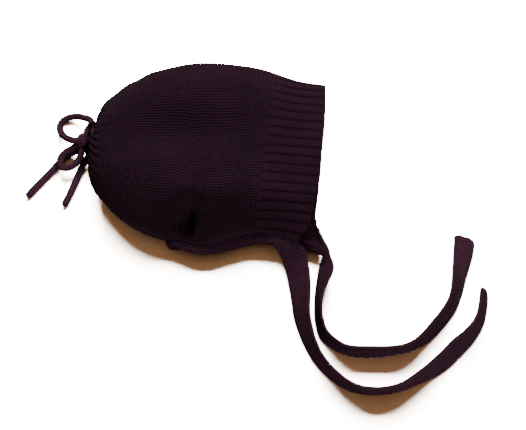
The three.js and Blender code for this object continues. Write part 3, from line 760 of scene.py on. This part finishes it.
class BonnetProperties(bpy.types.PropertyGroup):
    """Sizes and colours of the bonnet."""

    knit_wall: FloatProperty(
        name="Knit wall", description="Thickness of the crown's and the band's knit",
        default=0.0024, min=0.001, max=0.005, subtype="DISTANCE", unit="LENGTH",
    )
    ridge_pitch: FloatProperty(
        name="Ridge pitch", description="Distance between the purl ridges round the head",
        default=0.00335, min=0.002, max=0.008, subtype="DISTANCE", unit="LENGTH",
    )
    ridge_relief: FloatProperty(
        name="Ridge relief", description="Depth between the purl ridges",
        default=0.00035, min=0.0, max=0.002, subtype="DISTANCE", unit="LENGTH",
    )
    wales: IntProperty(
        name="Stitches round", description="Stitches round the crown", default=148, min=60, max=400,
    )
    rib_count: IntProperty(
        name="Ribs", description="Ribs round the face band", default=38, min=10, max=80,
    )
    rib_relief: FloatProperty(
        name="Rib relief", description="Depth of the grooves between the ribs",
        default=0.0009, min=0.0, max=0.003, subtype="DISTANCE", unit="LENGTH",
    )
    pleat_relief: FloatProperty(
        name="Pleat relief", description="How far the pleats at the draw cord stand out",
        default=0.0022, min=0.0, max=0.004, subtype="DISTANCE", unit="LENGTH",
    )
    tie_width: FloatProperty(
        name="Tie width", description="Width of the ties",
        default=0.02, min=0.01, max=0.04, subtype="DISTANCE", unit="LENGTH",
    )
    cord_diameter: FloatProperty(
        name="Cord diameter", description="Diameter of the bow's knitted cord",
        default=0.0052, min=0.002, max=0.008, subtype="DISTANCE", unit="LENGTH",
    )
    yarn: FloatVectorProperty(
        name="Yarn", description="Colour of the yarn", size=3, subtype="COLOR",
        default=(0.0011, 0.00034, 0.0007), min=0.0, max=1.0,
    )
    key_power: FloatProperty(
        name="Key light", description="Power of the window light on the surface", default=1000.0, min=0.0,
    )
    room_power: FloatProperty(
        name="Room light", description="Power of the soft light in the shadows", default=5.0, min=0.0,
    )
    knit_power: FloatProperty(
        name="Knit light", description="Power of the window light on the knit", default=590.0, min=0.0,
    )
    fill_strength: FloatProperty(
        name="Fill light", description="Strength of the room's light", default=0.072, min=0.0,
    )
    front_power: FloatProperty(
        name="Front light", description="Power of the light on the knit from the front",
        default=130.0, min=0.0,
    )


class BONNET_OT_stage(bpy.types.Operator):
    """Adds the pale surface, the lights on it and on the knit, and the camera"""

    bl_idname = "bonnet.stage"
    bl_label = "Stage"

    def execute(self, context):
        look = context.scene.baby_bonnet
        camera = bpy.data.objects.new("Camera", bpy.data.cameras.new("Camera"))
        context.scene.collection.objects.link(camera)
        camera.data.sensor_width = SENSOR_WIDTH
        camera.data.lens = CAMERA_LENS
        camera.location = CAMERA_AT
        camera.rotation_euler = (math.radians(CAMERA_TILT), 0, 0)
        context.scene.camera = camera
        bpy.ops.object.select_all(action="DESELECT")
        bpy.ops.mesh.primitive_plane_add(size=FLOOR_SIZE, location=FLOOR_AT)
        floor = context.object
        floor.name = "surface"
        paint = bpy.data.materials.new("Pale surface")
        paint.use_nodes = True
        shader = paint.node_tree.nodes["Principled BSDF"]
        shader.inputs["Base Color"].default_value = FLOOR_COLOUR
        shader.inputs["Roughness"].default_value = 0.9
        shader.inputs["Specular IOR Level"].default_value = 0.1
        floor.data.materials.append(paint)
        pieces, ground = (bpy.data.collections.new(name) for name in ("Knit pieces", "Ground"))
        ground.objects.link(floor)
        for name, power, size, place, colour, lit in (
            ("Window", look.key_power, 0.7, (0.03, 0.73, 0.55), WHITE, ground),
            ("Room", look.room_power, 1.4, (0, 0.35, 0.8), WARM, ground),
            ("Window on the knit", look.knit_power, 0.4, (0.1, 0.64, 0.74), WHITE, pieces),
            ("Front", look.front_power, 0.4, (0.3, -0.5, 0.5), WHITE, pieces),
        ):
            lamp = bpy.data.lights.new(name, "AREA")
            lamp.size, lamp.energy, lamp.color = size, power, colour
            light = bpy.data.objects.new(name, lamp)
            context.scene.collection.objects.link(light)
            light.location = place
            aim = Vector(LIGHTS_AIM) - light.location
            light.rotation_euler = aim.to_track_quat("-Z", "Y").to_euler()
            light.light_linking.receiver_collection = lit
        world = bpy.data.worlds.new("Room")
        context.scene.world = world
        world.use_nodes = True
        room = world.node_tree.nodes["Background"]
        room.inputs["Color"].default_value = ROOM_COLOUR
        room.inputs["Strength"].default_value = look.fill_strength
        return {"FINISHED"}


class BONNET_OT_bow(bpy.types.Operator):
    """Adds the draw cord with its knot, the two loops and the two ends of its bow"""

    bl_idname = "bonnet.bow"
    bl_label = "Bow and draw cord"

    def execute(self, context):
        make_materials()
        look = context.scene.baby_bonnet
        material = bpy.data.materials["Cord knit"]
        diameter = look.cord_diameter
        radius = diameter / MM / 2
        for name, route, back in (
            ("bow_loop_upper", BOW_LOOP_UPPER, True),
            ("bow_loop_lower", BOW_LOOP_LOWER, True),
            ("cord_end_long", CORD_END_LONG, False),
            ("cord_end_short", CORD_END_SHORT, False),
        ):
            route = np.array(route, float)
            inner = [route[:1] * STRAND_START]
            outer = [route[-1:] * STRAND_END] if back else []
            path = route_line(np.concatenate([*inner, route, *outer])) + KNOT
            path[:, 2] = np.maximum(path[:, 2], radius * 0.98)
            piece = tube(name, path, radius)
            finished(piece, material, "cord", name)
        finished(self.knot(radius), material, "cord", "bow_knot")
        finished(self.draw_cord(), material, "cord", "draw_cord")
        return {"FINISHED"}

    def knot(self, radius):
        """Three wraps of the cord, and the neck towards the gather."""
        turn = np.linspace(0, 2 * np.pi, 41)
        parts = []
        for k, (tilt, lean, size) in enumerate(KNOT_WRAPS):
            ring = np.stack([0.9 * size * np.cos(turn), 1.15 * size * np.sin(turn), 0 * turn], -1)
            ring[:, 2] += 0.35 * np.sin(2 * turn + k)
            a, b = math.radians(tilt), math.radians(lean)
            spin = np.array([[math.cos(a), 0, math.sin(a)], [0, 1, 0], [-math.sin(a), 0, math.cos(a)]])
            roll = np.array([[1, 0, 0], [0, math.cos(b), -math.sin(b)], [0, math.sin(b), math.cos(b)]])
            parts.append(tube(f"wrap_{k}", ring @ spin.T @ roll.T + KNOT, radius * WRAP_SHARE))
        neck = np.linspace((0, 0, 0), (KNOT_NECK, 0, 0), 8) + KNOT
        parts.append(tube("neck", neck, radius * NECK_SHARE))
        bpy.ops.object.select_all(action="DESELECT")
        for part in parts:
            part.select_set(True)
        bpy.context.view_layer.objects.active = parts[0]
        bpy.ops.object.join()
        parts[0].name = parts[0].data.name = "bow_knot_knit"
        return parts[0]

    def draw_cord(self):
        """The ring of cord that gathers the back."""
        turn = np.linspace(0, 2 * np.pi, 73)
        small = np.linspace(0, 2 * np.pi, 11)
        reach = DRAW_CORD_RADIUS + DRAW_CORD_THICK * np.cos(small)[None]
        points = np.stack([
            DRAW_CORD_X + DRAW_CORD_THICK * np.sin(small)[None] + 0 * turn[:, None],
            GATHER_Y + reach * np.cos(turn)[:, None], GATHER_Z + reach * np.sin(turn)[:, None],
        ], -1)
        points[-1], points[:, -1] = points[0], points[:, 0]
        return grown("draw_cord", points, small, turn * 6)


class BONNET_OT_crown(bpy.types.Operator):
    """Adds the knitted crown, gathered into pleats at the back and tucked above the neck"""

    bl_idname = "bonnet.crown"
    bl_label = "Crown"

    def execute(self, context):
        make_materials()
        look = context.scene.baby_bonnet
        pitch = look.ridge_pitch / MM
        rows = int((CROWN_LENGTH + RUFFLE_DEPTH) / pitch * ROWS_PER_RIDGE) + 1
        places = np.linspace(-RUFFLE_DEPTH, CROWN_LENGTH, rows)
        rounds = np.linspace(0, 1, CROWN_COLUMNS + 1)
        points = self.tucked(pouch(places, rounds), rounds)
        relief = self.relief(look, places[:, None], rounds[None])
        points = points + outward(points, True) * relief[..., None]
        points[:, -1] = points[:, 0]
        points[..., 2] = np.maximum(points[..., 2], 0)
        nape = float(along(NAPE_AT))

        def open_faces(row, column):
            in_slot = (column < UPPER_CUT * CROWN_COLUMNS) | (column >= (1 - LOWER_CUT) * CROWN_COLUMNS)
            return in_slot & (places[row] >= nape)

        piece = grown("crown", points, rounds * look.wales, places / pitch, open_faces=open_faces)
        flat = np.empty(len(piece.data.vertices) * 3)
        piece.data.vertices.foreach_get("co", flat)
        at = flat.reshape(-1, 3) / MM - (DRAW_CORD_X, GATHER_Y, GATHER_Z)
        gathered = 1 - smooth(*GATHER_REACH, np.linalg.norm(at, axis=1))
        thick = look.knit_wall / GATHER_WALL
        wall_of(piece, GATHER_WALL, np.round(thick + (1 - thick) * gathered, 2))
        lay_on_surface(piece)
        finished(piece, bpy.data.materials["Purl knit"], "crown_knit", "crown")
        return {"FINISHED"}

    def relief(self, look, place, turn):
        """Pleats at the gather and purl ridges all over, in millimetres."""
        fade = np.clip(1 - np.abs(place) / PLEAT_REACH, 0, 1) ** 1.5
        lobes = 2 * np.abs(np.cos(np.pi * PLEAT_COUNT * turn)) ** 0.7 - 1.2
        uneven = 1 + 0.25 * np.sin(2 * np.pi * turn * 5 + 1) + 0.15 * np.sin(2 * np.pi * turn * 11)
        pleats = look.pleat_relief / MM * fade * lobes * uneven
        ridges = 0.5 - 0.5 * np.cos(2 * np.pi * place / (look.ridge_pitch / MM))
        return pleats - look.ridge_relief / MM * ridges * smooth(2, 14, place)

    def tucked(self, points, rounds):
        """Pulls the upper layer up over the tuck above the neck and deepens the tuck's pocket."""
        points = points.copy()
        x, y = points[..., 0], points[..., 1]
        upper = (smooth(*LAYER_FROM, rounds) * (1 - smooth(*LAYER_TO, rounds)))[None]
        tent = np.clip(1 - np.sqrt((x - TUCK_X) ** 2 + 3) / TUCK_REACH, 0, 1) ** 1.5
        points[..., 1] += TUCK_PULL * tent * (1 - smooth(*PULL_HIGH, y)) * smooth(*PULL_LOW, y) * upper
        pocket = smooth(*POCKET_LOW, points[..., 1]) * (1 - smooth(*POCKET_HIGH, points[..., 1]))
        wide = np.where(x < TUCK_X, POCKET_BEHIND, POCKET_AHEAD)
        points[..., 2] -= POCKET_DEPTH * np.exp(-(((x - TUCK_X) / wide) ** 2)) * pocket * upper
        return points


class BONNET_OT_face_band(bpy.types.Operator):
    """Adds the ribbed band round the face"""

    bl_idname = "bonnet.face_band"
    bl_label = "Face band"

    def execute(self, context):
        make_materials()
        look = context.scene.baby_bonnet
        steps = look.rib_count * COLUMNS_PER_RIB
        rounds = np.linspace(UPPER_CUT, 1 - LOWER_CUT, steps + 1)
        places = np.linspace(float(along(1)) - SEAM_OVERLAP, float(along(2)), BAND_ROWS)
        points = pouch(places, rounds)
        out = ((places - places[0]) / BAND_DEPTH)[:, None]
        drawn = (1 - smooth(UPPER_CUT, UPPER_CORNER_UNTIL, rounds))[None] ** 1.5
        points[..., 0] -= UPPER_CORNER_BACK * drawn * out**2
        points[..., 1] -= UPPER_CORNER_DOWN * drawn * out
        under = smooth(LOWER_CORNER_FROM, 1 - LOWER_CUT, rounds)[None] ** 1.5
        ahead, down, up = LOWER_CORNER
        points += np.stack([ahead * under * out**2, down * under * out, up * under * out], -1)
        share = np.arange(steps + 1) / COLUMNS_PER_RIB
        off = np.abs(share - np.rint(share))
        groove = look.rib_relief / MM * np.exp(-((off / GROOVE_SHARE) ** 2))[None]
        sink = groove * smooth(*GROOVE_START, places - places[0])[:, None]
        points = points - outward(points, False) * sink[..., None]
        points[..., 2] = np.maximum(points[..., 2], 0)
        # Painted shade: past this share of the way round the stitch number is rounded, so the lower corner is
        # coloured like the ribs' hollows all over
        shaded = np.where(rounds > PAINTED_SHADE_CORNER_FROM, np.rint(share), share)
        piece = grown("face_band", points, shaded * RIB_STITCHES, places / KNIT_ROW)
        wall_of(piece, look.knit_wall)
        lay_on_surface(piece)
        finished(piece, bpy.data.materials["Rib knit"], "rib_knit", "face_band")
        return {"FINISHED"}


class BONNET_OT_neck_band(bpy.types.Operator):
    """Adds the folded band along the neck edge"""

    bl_idname = "bonnet.neck_band"
    bl_label = "Neck band"

    def execute(self, context):
        make_materials()
        look = context.scene.baby_bonnet
        wall = look.knit_wall / MM
        seam = np.array(SEAM_PLACES) + NAPE_AT
        sections = []
        for at in (RIGHT_TIE_AT, 1.1, *seam[::-1]):
            sections.append(lip_section(*rim(float(along(at)), True, wall), UPPER_LIP, wall, lip_reach(at)))
        nape = float(along(NAPE_AT))
        centre = pouch(nape, 0)[0, 0]
        top = pouch(nape, UPPER_CUT)[0, 0, 2]
        for degrees in NAPE_DEGREES:
            angle = math.radians(degrees)
            normal = np.array((-math.cos(angle), 0, math.sin(angle)))
            outer = np.array((
                centre[0] - NAPE_TURN_RADIUS * math.cos(angle), centre[1] + 1.5,
                top / 2 * (1 + math.sin(angle)),
            ))
            inner = outer - wall * normal
            sections.append(lip_section(outer, inner, normal, NAPE_LIP, wall, NECK_LIP * NAPE_LIP_SHARE))
        for at in (*seam, 1.1, RIGHT_TIE_AT, 1.6, 2):
            sections.append(lip_section(*rim(float(along(at)), False, wall), LOWER_LIP, wall, lip_reach(at)))
        sections = np.array(sections)
        reach = lengths(sections.mean(axis=1))
        steps = np.arange(0, reach[-1], NECK_STEP)
        points = through(reach, sections.reshape(len(reach), -1), steps).reshape(len(steps), -1, 3)
        inward = unit(points.mean(axis=1, keepdims=True) - points)
        sink = NECK_RELIEF - NECK_RELIEF * np.cos(2 * np.pi * steps / NECK_ROW)
        points = points + inward * sink[:, None, None]
        points[..., 2] = np.maximum(points[..., 2], 0)
        points = np.concatenate([points, points[:, :1]], axis=1)
        across = np.arange(points.shape[1]) * NECK_WALES
        piece = grown("neck_band", points, across, steps / NECK_ROW, capped=True)
        finished(piece, bpy.data.materials["Folded knit"], "neck_knit", "neck_band")
        return {"FINISHED"}


class BONNET_OT_ties(bpy.types.Operator):
    """Adds the two ties as they lie"""

    bl_idname = "bonnet.ties"
    bl_label = "Ties"

    def execute(self, context):
        make_materials()
        look = context.scene.baby_bonnet
        wall = look.knit_wall / MM
        right = lip_root(RIGHT_TIE_AT, True, UPPER_LIP, wall)
        left = lip_root(2, False, LOWER_LIP, wall)
        for name, rows, root, length in (
            ("right_tie", RIGHT_TIE, right, RIGHT_TIE_LENGTH),
            ("left_tie", LEFT_TIE, left, LEFT_TIE_LENGTH),
        ):
            piece = self.tie(name, rows, root, length, look)
            finished(piece, bpy.data.materials["Tie knit"], "tie_knit", name)
        return {"FINISHED"}

    def tie(self, name, rows, root, length, look):
        """A strip with rounded edges, following the table of how it lies."""
        full = look.tie_width / MM
        half = TIE_WALL / 2
        t = np.linspace(0, len(rows) - 1, TIE_STEPS + 1)
        read = dict(zip(TIE_COLUMNS, through(np.arange(len(rows)), rows, t).T))
        line = np.stack([root[0] + length * read["x"], root[1] + length * read["y"]], -1)
        reach = lengths(line)
        taper = np.sqrt(np.minimum(1, TIP_SHARE + (1 - t / t[-1]) * length / TIE_TIP))
        face, lean = np.radians(read["face"]), np.radians(read["lean"])
        width = full * read["width"]
        across = np.stack([np.cos(face) * np.cos(lean), np.sin(face) * np.cos(lean), np.sin(lean)], -1)
        thick = np.stack([-np.cos(face) * np.sin(lean), -np.sin(face) * np.sin(lean), np.cos(lean)], -1)
        inset = width * (1 - taper) / 2
        low = np.minimum(inset * np.sin(lean), (inset + half) * np.sin(lean) - half * np.cos(lean))
        edge = np.column_stack([line, full * np.maximum(0, read["lift"]) - low])
        flat, bend = np.linspace(-1, 1, 11), np.radians(EDGE_DEGREES)
        none, one = 0 * flat, 1 + 0 * bend
        run = np.concatenate([flat, one, -flat, -one])
        out = np.concatenate([none, np.sin(bend), none, -np.sin(bend)])
        up = np.concatenate([none + 1, np.cos(bend), none - 1, -np.cos(bend)])
        run, out, up = (np.append(v, v[0])[None] for v in (run, out, up))
        reach_half = width / 2 - inset
        tooth = TIE_TOOTH * np.cos(2 * np.pi * reach / KNIT_ROW)[:, None] * np.abs(run) ** 3
        w = width[:, None] / 2 + run * (reach_half - half + tooth[:, 0])[:, None] + out * (half + tooth)
        uneven = 0.5 + 0.5 * np.cos(reach / 23)[:, None]
        h = up * (half + tooth) + TIE_WAVE * np.sin(reach / 9)[:, None] * (1 - run**2) * uneven
        points = edge[:, None] + across[:, None] * w[..., None] + thick[:, None] * h[..., None]
        points[..., 2] = np.maximum(points[..., 2], 0)
        outline = np.stack([run[0] * (full / 2 - half) + out[0] * half, up[0] * half], -1)
        return grown(name, points, lengths(outline) / TIE_WALE, reach / KNIT_ROW, capped=True)


class BONNET_PT_panel(bpy.types.Panel):
    """Lists the bonnet's pieces and sizes"""

    bl_label = "Bonnet"
    bl_idname = "BONNET_PT_panel"
    bl_space_type = "VIEW_3D"
    bl_region_type = "UI"
    bl_category = "Bonnet"

    def draw(self, context):
        look = context.scene.baby_bonnet
        for name in BonnetProperties.__annotations__:
            self.layout.prop(look, name)
        for operator in OPERATORS:
            self.layout.operator(operator.bl_idname)


OPERATORS = (
    BONNET_OT_stage, BONNET_OT_bow, BONNET_OT_crown, BONNET_OT_face_band, BONNET_OT_neck_band, BONNET_OT_ties,
)
CLASSES = (BonnetProperties, *OPERATORS, BONNET_PT_panel)


def register():
    """Adds the classes and the scene's settings."""
    for cls in CLASSES:
        bpy.utils.register_class(cls)
    bpy.types.Scene.baby_bonnet = PointerProperty(type=BonnetProperties)


def unregister():
    """Takes the classes and the settings away again."""
    del bpy.types.Scene.baby_bonnet
    for cls in reversed(CLASSES):
        bpy.utils.unregister_class(cls)


def main():
    """Builds the whole bonnet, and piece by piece."""
    register()
    bpy.ops.bonnet.stage()
    bpy.ops.bonnet.bow()
    bpy.ops.bonnet.crown()
    bpy.ops.bonnet.face_band()
    bpy.ops.bonnet.neck_band()
    bpy.ops.bonnet.ties()


if __name__ == "__main__":
    main()
